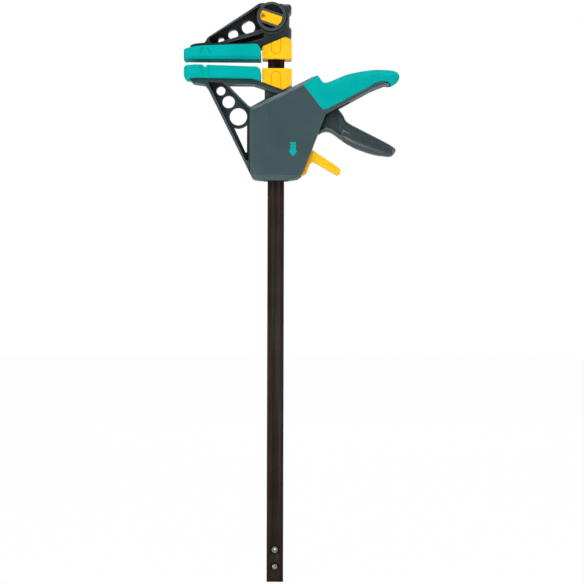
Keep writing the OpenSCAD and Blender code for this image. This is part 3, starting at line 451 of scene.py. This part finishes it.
PAD_ROUND = 0.0016              # metres: radius of the pads' moulded edges
PAD_LINE_AREA = 7e-6            # square metres: smaller faces belong to the fine lines in the pads' sides
# The upper pad's chamfer, in millimetres. Its vertices are found by how far out and how low they stand in CAD
FACE_RIM = (17.9, -1.49)        # on the clamping face: further out than the first, and below the second
SIDE_RIM = (19.9, 0)            # on the straight sides
FACE_HALF = 15.0                # half width that the clamping face gets
SIDE_LOW = 1.2                  # height at which the straight sides then end


def widen_chamfer(shape):
    """Gives the upper pad the photo's broad chamfer between its clamping face and its sides."""
    for vert in shape.verts:
        y = abs(vert.co.y) / MM
        z = vert.co.z / MM
        if y > FACE_RIM[0] and z < FACE_RIM[1]:
            vert.co.y *= FACE_HALF / y
        elif y > SIDE_RIM[0] and z < SIDE_RIM[1]:
            vert.co.z = SIDE_LOW * MM


def soft_pad(name, node_name, body, reshape=None):
    """A pad as a soft moulding: the CAD form with every outer edge rounded and its fine lines left crisp."""
    node = frame["nodes"][node_name]
    shape = bmesh.new()
    shape.from_mesh(node.data)
    shape.transform(node.matrix_world)
    bmesh.ops.remove_doubles(shape, verts=shape.verts, dist=WELD)
    bmesh.ops.dissolve_limit(shape, angle_limit=FLAT, verts=shape.verts, edges=shape.edges)
    if reshape:
        reshape(shape)
    edges = [
        edge for edge in shape.edges
        if len(edge.link_faces) == 2 and edge.calc_face_angle() > SHARP
        and min(face.calc_area() for face in edge.link_faces) > PAD_LINE_AREA
    ]
    bmesh.ops.bevel(
        shape, geom=edges, offset=PAD_ROUND, offset_type="OFFSET", segments=4, profile=0.5,
        affect="EDGES", clamp_overlap=True, miter_outer="ARC")
    return new_piece(name, shape, "soft_teal", body, [node_name], "soft_teal_lined")


# ---------- grip cover ----------

# From the crest of the body to the grip's end: a point of the back, the point of the side edge across from it,
# the half width and how far the back is rounded, all in millimetres
COVER_RIBS = [
    (46.3, -20.8, 46.0, -22.9, 15.1, 1.2),
    (49.4, -20.5, 44.5, -24.1, 15.2, 2.0),
    (51.3, -21.2, 41.0, -26.3, 15.2, 2.4),
    (52.3, -22.4, 36.5, -29.1, 15.2, 2.8),
    (53.3, -23.8, 32.7, -31.9, 15.2, 3.2),
    (54.5, -25.5, 35.2, -35.8, 15.2, 4.0),
    (55.4, -26.5, 41.5, -43.9, 15.2, 5.0),
    (57.2, -27.6, 48.0, -52.2, 15.2, 6.2),
    (59.6, -27.9, 54.2, -60.0, 15.2, 7.4),
    (62.0, -27.4, 57.6, -61.7, 15.2, 8.2),
    (66.0, -26.0, 63.5, -59.8, 15.2, 9.0),
    (74.2, -22.5, 76.1, -53.5, 15.0, 10.0),
    (84.0, -18.5, 88.0, -47.5, 14.9, 10.5),
    (95.0, -15.7, 99.9, -41.3, 14.8, 10.5),
    (106.6, -13.7, 111.8, -34.3, 14.8, 10.0),
    (117.0, -12.5, 118.5, -30.4, 14.8, 9.5),
    (127.0, -12.4, 124.5, -28.5, 14.8, 9.5),
    (136.6, -13.0, 129.6, -28.2, 14.8, 9.5),
    (143.5, -14.6, 132.0, -28.4, 14.8, 10.0),
    (147.2, -18.0, 133.4, -28.9, 14.8, 10.5),
    (147.7, -22.0, 134.3, -29.7, 14.8, 10.5),
    (145.6, -26.5, 134.9, -30.4, 14.6, 8.5),
    (141.0, -30.2, 135.3, -30.9, 14.2, 5.0),
    (137.4, -31.3, 135.8, -31.2, 13.6, 1.2),
]
COVER_BACK_WALL = 2.2           # millimetres
COVER_SIDE_WALL = 2.6
COVER_LIP = 1.1                 # radius of the lip
COVER_SHARES = (0.8, 0.35, 0.12)        # most of a rib that the back's rounding, its wall and the lip take up
CORNER_MIDDLE = 0.3             # the middle of a round corner lies this many radii in from both its sides


def cover_ring(rib, steps=20):
    """Section of the cover: a rounded back, straight sides and a rounded lip, hollow for the hard core."""
    length = rib_length(rib)
    width = rib[4]
    sizes = (rib[5], COVER_BACK_WALL, COVER_LIP)
    crown, wall, lip = (min(size, share * length) for size, share in zip(sizes, COVER_SHARES))
    turns = [math.radians(90 * k / steps) for k in range(-steps, steps + 1)]
    outer = [(crown * (1 - math.cos(turn)), width * math.sin(turn)) for turn in turns]
    hollow = max(0, crown - wall)
    inner_width = width - COVER_SIDE_WALL
    inner = [(wall + hollow * (1 - math.cos(turn)), inner_width * math.sin(turn)) for turn in turns]
    middle = CORNER_MIDDLE * lip
    low = [
        (length, -inner_width), (length, -width + lip), (length - middle, -width + middle), (length - lip, -width)]
    high = [(depth, -y) for depth, y in reversed(low)]
    return on_rib(rib, low + outer + high + inner[::-1])


def grip_cover():
    """Soft teal cover over the grip's hard core."""
    return new_piece(
        "grip_cover_soft", loft([cover_ring(rib) for rib in smooth_path(COVER_RIBS, steps=10)]),
        "soft_teal", "carriage", ["grip_cover"], "soft_teal_lined")


# ---------- trigger ----------

# From the nose to the finger tip: a point of the top, the point of the underside across from it, the half width
# at the top, then the depths (shares of the rib) of the ledge, of the bead's start and of its widest line with
# the half widths above the ledge, below it and at the widest line. Millimetres.
TRIGGER_RIBS = [
    (15.0, -60.6, 15.0, -66.6, 7.0, 0.30, 0.60, 0.75, 8.0, 8.0, 8.0),
    (20.0, -58.0, 20.0, -65.6, 8.0, 0.30, 0.60, 0.75, 8.0, 8.0, 8.0),
    (25.0, -55.0, 25.0, -67.4, 8.0, 0.30, 0.60, 0.75, 8.0, 8.0, 8.0),
    (31.0, -53.2, 31.0, -73.0, 8.0, 0.30, 0.60, 0.75, 8.0, 8.0, 8.0),
    (38.0, -53.5, 37.5, -77.4, 8.0, 0.40, 0.70, 0.82, 8.0, 8.0, 8.0),
    (45.0, -54.4, 44.5, -84.0, 7.4, 0.48, 0.78, 0.88, 7.0, 7.6, 8.0),
    (51.0, -55.4, 50.8, -89.9, 7.0, 0.51, 0.80, 0.89, 6.7, 7.4, 8.0),
    (57.0, -56.6, 55.2, -87.9, 7.0, 0.50, 0.81, 0.90, 6.6, 7.4, 9.2),
    (62.0, -57.5, 60.4, -86.8, 7.0, 0.47, 0.83, 0.91, 6.6, 7.4, 10.0),
    (67.0, -58.3, 66.8, -88.6, 7.0, 0.38, 0.83, 0.91, 6.6, 7.4, 10.2),
    (71.4, -58.9, 76.8, -95.7, 7.0, 0.28, 0.85, 0.90, 6.6, 7.4, 10.6),
    (72.2, -59.0, 77.8, -96.3, 7.0, 0.27, 0.83, 0.88, 7.2, 8.2, 10.8),
    (74.2, -60.0, 80.0, -98.1, 7.4, 0.26, 0.70, 0.82, 7.8, 8.2, 11.0),
    (77.2, -63.2, 83.0, -100.2, 7.5, 0.26, 0.60, 0.73, 7.9, 8.3, 11.0),
    (80.8, -68.4, 86.0, -102.1, 7.6, 0.26, 0.54, 0.68, 8.0, 8.4, 11.0),
    (82.7, -72.7, 89.0, -103.6, 7.8, 0.26, 0.50, 0.65, 8.2, 8.7, 11.0),
    (85.2, -75.8, 92.0, -105.3, 8.4, 0.26, 0.48, 0.63, 8.8, 9.5, 11.0),
    (89.5, -78.5, 96.0, -107.1, 9.4, 0.26, 0.46, 0.62, 9.8, 10.3, 11.0),
    (96.0, -82.0, 101.5, -109.2, 10.0, 0.26, 0.46, 0.61, 10.4, 10.7, 11.0),
    (106.6, -87.5, 110.0, -112.2, 10.0, 0.26, 0.46, 0.61, 10.4, 10.7, 11.0),
    (118.6, -93.5, 120.0, -114.8, 10.0, 0.26, 0.48, 0.63, 10.4, 10.7, 11.0),
    (130.6, -99.7, 129.0, -115.9, 9.9, 0.26, 0.52, 0.68, 10.2, 10.5, 10.8),
    (137.0, -103.2, 134.2, -116.5, 9.4, 0.26, 0.56, 0.72, 9.8, 10.1, 10.4),
    (140.6, -105.5, 138.4, -115.8, 8.4, 0.26, 0.60, 0.75, 8.9, 9.2, 9.5),
    (142.6, -106.9, 140.8, -114.0, 6.4, 0.26, 0.60, 0.75, 7.0, 7.4, 7.6),
    (143.7, -108.8, 142.4, -111.6, 3.4, 0.26, 0.60, 0.75, 3.8, 4.0, 4.0),
]
TRIGGER_EDGE = 1.6              # radius of its upper edges
TRIGGER_EDGE_SHARE = 0.16       # most of a rib that it takes up
TRIGGER_TOP = 0.3               # least half width of the flat top
EDGE_PROFILE = [(0, 2), (0.12, 1), (0.45, 0.35), (1, 0)]    # depth and inset from the side, in radii of the edge
LEDGE_SLOPE = 0.12              # the ledge falls from this far above its line to as far below it
BEAD_PROFILE = [(-0.5, 0.2), (0.5, 0.55)]       # depth from the bead's start, and share of its swelling
BELLY_FLAT = 0.35               # share of the underside's width that is flat, the rest is round


def trigger_ring(rib, belly_steps=6):
    """Section of the trigger: flat top, a ledge, a panel and a rounded finger side underneath."""
    length = rib_length(rib)
    half, ledge, bead, widest, upper, panel, wide = rib[4:]
    edge = min(TRIGGER_EDGE, TRIGGER_EDGE_SHARE * length)
    side = [(0, 0)]
    side += [(depth * edge, max(TRIGGER_TOP, half - inset * edge)) for depth, inset in EDGE_PROFILE]
    side += [(ledge * length - LEDGE_SLOPE, upper), (ledge * length + LEDGE_SLOPE, panel)]
    side += [(bead * length + depth, panel + share * (wide - panel)) for depth, share in BEAD_PROFILE]
    side.append((widest * length, wide))
    belly = (1 - widest) * length
    for k in range(1, belly_steps + 1):
        turn = math.radians(90 / belly_steps * k)
        side.append((
            widest * length + belly * math.sin(turn),
            BELLY_FLAT * wide + (1 - BELLY_FLAT) * wide * math.cos(turn)))
    side.append((length, 0))
    return on_rib(rib, [(depth, -y) for depth, y in side] + side[-2:0:-1])


def trigger():
    """The sculpted finger lever."""
    return new_piece(
        "trigger_lever", loft([trigger_ring(rib) for rib in smooth_path(TRIGGER_RIBS, steps=4)]),
        "grey_plastic", "trigger", ["trigger"], "trigger_plastic")


# ---------- printed arrow ----------

# All in millimetres
ARROW_SHAFT = (17.1, 23.8, -100.7, -111.0)      # left, right, top and foot of the shaft
ARROW_HEAD = (15.2, 25.6, -117.9)               # left, right and tip of the head
ARROW_BARS = 3
ARROW_GAP = 0.7
ARROW_BACK = -15.0                              # side face of the body
ARROW_FRONT = -15.03


def arrow():
    """A plain striped arrow printed on the side of the body, pointing down the bar."""
    shape = bmesh.new()

    def plate(points):
        front, back = (
            [shape.verts.new(Vector((x, y, z)) * MM) for x, z in points] for y in (ARROW_FRONT, ARROW_BACK))
        shape.faces.new(front)
        shape.faces.new(back[::-1])
        for i in range(len(points)):
            j = (i + 1) % len(points)
            shape.faces.new((front[i], front[j], back[j], back[i]))

    left, right, top, foot = ARROW_SHAFT
    pitch = (top - foot) / ARROW_BARS
    for i in range(ARROW_BARS):
        high = top - i * pitch
        low = high - pitch + (ARROW_GAP if i < ARROW_BARS - 1 else 0)
        plate([(left, high), (right, high), (right, low), (left, low)])
    head_left, head_right, tip = ARROW_HEAD
    plate([(head_left, foot), (head_right, foot), ((left + right) / 2, tip)])
    return new_piece("arrow_print", shape, "soft_teal", "carriage")


knob_insert()
soft_pad("fixed_pad_soft", "fixed_pad", "bar_and_fixed_jaw", widen_chamfer)
soft_pad("moving_pad_soft", "moving_pad", "carriage")
grip_cover()
trigger()
arrow()


# ---------- stage, light and camera (metres) ----------

FLOOR_HALF = 6
FLOOR_GAP = 0.0002              # between the bar's foot and the floor
FLOOR_WHITE = 0.985             # share of plain white in what the camera sees of the floor
FLOOR_TONE = (0.85, 0.85, 0.85, 1)
AMBIENT = 0.08                  # strength of the world's light on the object
TENT = {"From Min": -0.75, "From Max": 0.0, "To Min": 0.0, "To Max": 1.0}

# Name, place, the point it faces, width, height, watts, and whether it shows in gloss
LAMPS = [
    ("top_light", (0.0, -0.4, 1.25), (0, 0, -0.1), 1.4, 1.0, 20, True),
    ("left_light", (-1.4, -0.6, -0.1), (0, 0, -0.15), 1.0, 1.0, 6, True),
    ("right_light", (1.4, -0.6, -0.1), (0, 0, -0.2), 1.0, 1.0, 10, True),
    ("low_light", (-0.45, -0.6, -0.57), (0, 0, -0.1), 1.0, 0.3, 5.9, True),
    ("front_light", (0.2, -2.6, 0.1), (0, 0, -0.25), 1.6, 1.2, 7, False),
    ("back_light", (0.2, 2.2, 0.5), (0, 0, -0.25), 1.6, 1.2, 18, False),
]

CAMERA_DISTANCE = 1.75
CAMERA_X = 0.01971
CAMERA_Z = -0.279
CAMERA_ROLL = math.radians(0.156)
CAMERA_CLIP = 0.05
FRAME_WIDTH = 0.7008            # what the image spans at the bar: 584 pixels of 1.2 mm
SENSOR_WIDTH = 36               # millimetres


def area_light(name, place, target, width, height, power, mirrored):
    """A soft lamp, out of the camera's sight. One that isn't mirrored lights surfaces but puts no gloss on them."""
    data = bpy.data.lights.new(name, "AREA")
    data.shape = "RECTANGLE"
    data.size = width
    data.size_y = height
    data.energy = power
    lamp = bpy.data.objects.new(name, data)
    lamp.visible_glossy = mirrored
    lamp.visible_camera = False
    lamp.location = place
    lamp.rotation_euler = (Vector(target) - Vector(place)).to_track_quat("-Z", "Y").to_euler()
    bpy.context.collection.objects.link(lamp)


class Stage:
    """A short way to write the floor's and the world's shaders, from an empty node tree."""

    def __init__(self, owner, output):
        owner.use_nodes = True
        self.nodes = owner.node_tree.nodes
        self.links = owner.node_tree.links
        self.nodes.clear()
        self.out = self.nodes.new(output)
        self.path = self.nodes.new("ShaderNodeLightPath")

    def mixed(self, share, first, second):
        node = self.nodes.new("ShaderNodeMixShader")
        for source, target in zip((share, first.outputs[0], second.outputs[0]), node.inputs):
            self.links.new(source, target)
        return node

    def background(self, strength):
        node = self.nodes.new("ShaderNodeBackground")
        node.inputs["Color"].default_value = (1, 1, 1, 1)
        node.inputs["Strength"].default_value = strength
        return node

    def finish(self, shader):
        self.links.new(shader.outputs[0], self.out.inputs["Surface"])


def studio_floor():
    """Pale floor under the bar's foot. Seen by the camera it is close to white, and it keeps the shadow."""
    mesh = bpy.data.meshes.new("floor")
    z = cad_box[0][2] - FLOOR_GAP
    corners = [(-1, -1), (1, -1), (1, 1), (-1, 1)]
    mesh.from_pydata([(x * FLOOR_HALF, y * FLOOR_HALF, z) for x, y in corners], [], [(0, 1, 2, 3)])
    floor = bpy.data.objects.new("floor", mesh)
    bpy.context.collection.objects.link(floor)
    material = bpy.data.materials.new("floor")
    stage = Stage(material, "ShaderNodeOutputMaterial")
    share = stage.nodes.new("ShaderNodeMath")
    share.operation = "MULTIPLY"
    share.inputs[1].default_value = FLOOR_WHITE
    stage.links.new(stage.path.outputs["Is Camera Ray"], share.inputs[0])
    matt = stage.nodes.new("ShaderNodeBsdfDiffuse")
    matt.inputs["Color"].default_value = FLOOR_TONE
    white = stage.nodes.new("ShaderNodeEmission")
    stage.finish(stage.mixed(share.outputs[0], matt, white))
    mesh.materials.append(material)


def studio_world():
    """White behind the object, a weaker light on it, and in its gloss a white tent that is dark at the front."""
    world = bpy.data.worlds.new("studio")
    bpy.context.scene.world = world
    stage = Stage(world, "ShaderNodeOutputWorld")
    place = stage.nodes.new("ShaderNodeTexCoord")
    parts = stage.nodes.new("ShaderNodeSeparateXYZ")
    tent = stage.nodes.new("ShaderNodeMapRange")
    tent.interpolation_type = "SMOOTHSTEP"
    for key, number in TENT.items():
        tent.inputs[key].default_value = number
    stage.links.new(place.outputs["Generated"], parts.inputs[0])
    stage.links.new(parts.outputs["Y"], tent.inputs["Value"])
    mirrored = stage.background(1.0)
    stage.links.new(tent.outputs["Result"], mirrored.inputs["Strength"])
    unseen = stage.mixed(stage.path.outputs["Is Glossy Ray"], stage.background(AMBIENT), mirrored)
    stage.finish(stage.mixed(stage.path.outputs["Is Camera Ray"], unseen, stage.background(1.0)))


def camera():
    """A level camera at the photo's height and scale, turned by its slight roll."""
    data = bpy.data.cameras.new("camera")
    data.sensor_width = SENSOR_WIDTH
    data.lens = SENSOR_WIDTH * CAMERA_DISTANCE / FRAME_WIDTH
    data.clip_start = CAMERA_CLIP
    eye = bpy.data.objects.new("camera", data)
    eye.matrix_world = (
        Matrix.Translation((CAMERA_X, -CAMERA_DISTANCE, CAMERA_Z))
        @ Matrix.Rotation(math.radians(90), 4, "X")
        @ Matrix.Rotation(CAMERA_ROLL, 4, "Z")
    )
    bpy.context.collection.objects.link(eye)
    bpy.context.scene.camera = eye


studio_floor()
studio_world()
for lamp_settings in LAMPS:
    area_light(*lamp_settings)
camera()
bpy.context.scene.view_settings.view_transform = "Standard"
